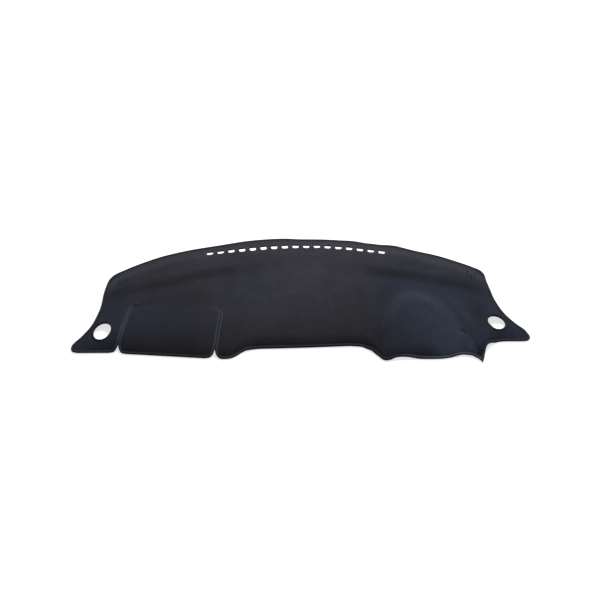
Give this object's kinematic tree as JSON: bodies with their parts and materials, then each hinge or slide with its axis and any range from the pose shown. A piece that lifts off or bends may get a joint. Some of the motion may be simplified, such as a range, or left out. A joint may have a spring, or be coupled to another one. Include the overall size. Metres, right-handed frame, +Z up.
{
  "type": "dashboard cover mat",
  "caption": "Moulded felt dashboard cover with a bound edge, defroster slots, round vent openings, an airbag flap and an instrument hood.",
  "frame": {"origin": "middle of the base, on the surface that the mat lies on", "axes": "+Z up, +Y towards the windscreen edge, +X along the dashboard towards the instrument hood"},
  "size_m": [1.3776, 0.5388, 0.0645],
  "materials": {
    "felt": "matt, short fibred felt",
    "binding": "matt, overlocked thread"
  },
  "bodies": {
    "root": {"felt_left_ear": "felt", "felt_band_left_ear": "felt", "felt_flap": "felt", "felt_band_flap": "felt", "felt_middle_left": "felt", "felt_band_middle_left": "felt", "felt_middle_right": "felt", "felt_band_middle_right": "felt", "felt_hood": "felt", "felt_band_hood": "felt", "felt_right_ear": "felt", "felt_band_right_ear": "felt", "edge_binding": "binding", "left_opening_edging": "binding", "right_opening_edging": "binding"}
  },
  "joints": []
}
